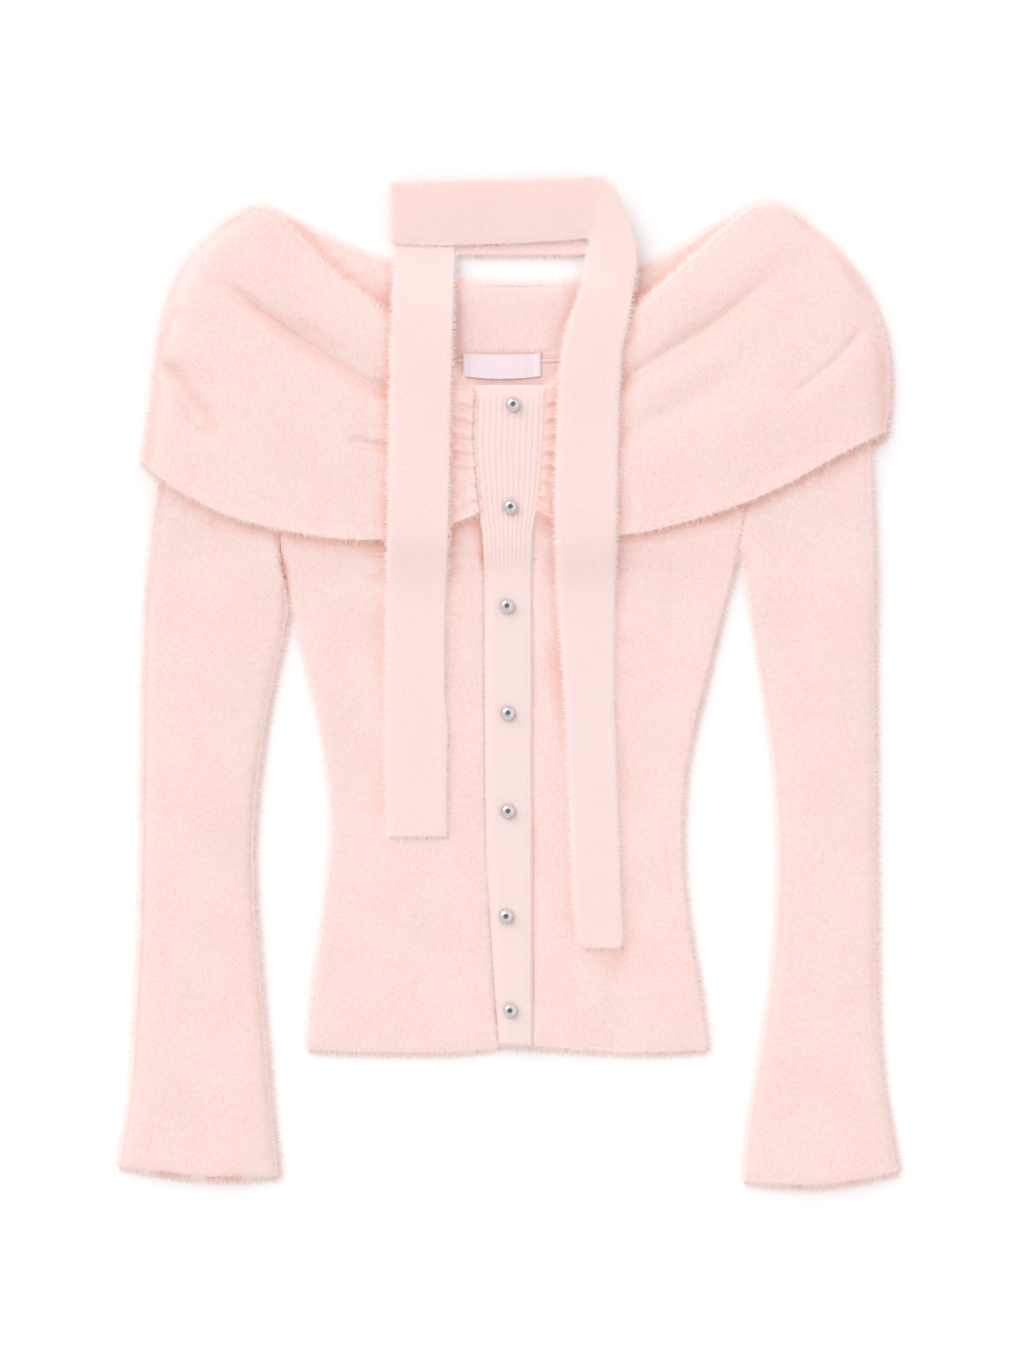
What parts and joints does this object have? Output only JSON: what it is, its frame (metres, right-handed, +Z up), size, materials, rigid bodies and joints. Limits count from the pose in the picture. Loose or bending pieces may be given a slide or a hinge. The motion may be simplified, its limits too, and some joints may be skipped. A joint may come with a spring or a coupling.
{
  "type": "off-shoulder knit cardigan with scarf",
  "caption": "Cropped off-shoulder cardigan of brushed knit with a deep folded collar, ribbed button band, long flared sleeves and a long matching scarf, laid flat with its front up.",
  "frame": {"origin": "on the table, at the middle of the outline", "axes": "+X from the wearer's right sleeve to the left one, +Y from the cuffs to the collar and scarf, +Z up from the table"},
  "size_m": [0.6008, 0.7768, 0.018],
  "materials": {
    "brushed_knit": "matt, brushed",
    "satin_ribbon": "satin",
    "polished_metal": "polished"
  },
  "bodies": {
    "root": {"collar_back": "brushed_knit", "back_panel": "brushed_knit", "front_right_panel": "brushed_knit", "front_left_panel": "brushed_knit", "sleeve_right": "brushed_knit", "sleeve_left": "brushed_knit", "band_under": "brushed_knit", "band_upper": "brushed_knit", "collar_right": "brushed_knit", "collar_left": "brushed_knit", "neck_label": "satin_ribbon", "scarf_neck_under": "brushed_knit", "scarf_neck": "brushed_knit", "scarf_tail_right": "brushed_knit", "scarf_tail_left": "brushed_knit", "button_1": "polished_metal", "button_2": "polished_metal", "button_3": "polished_metal", "button_4": "polished_metal", "button_5": "polished_metal", "button_6": "polished_metal", "button_7": "polished_metal"}
  },
  "joints": []
}
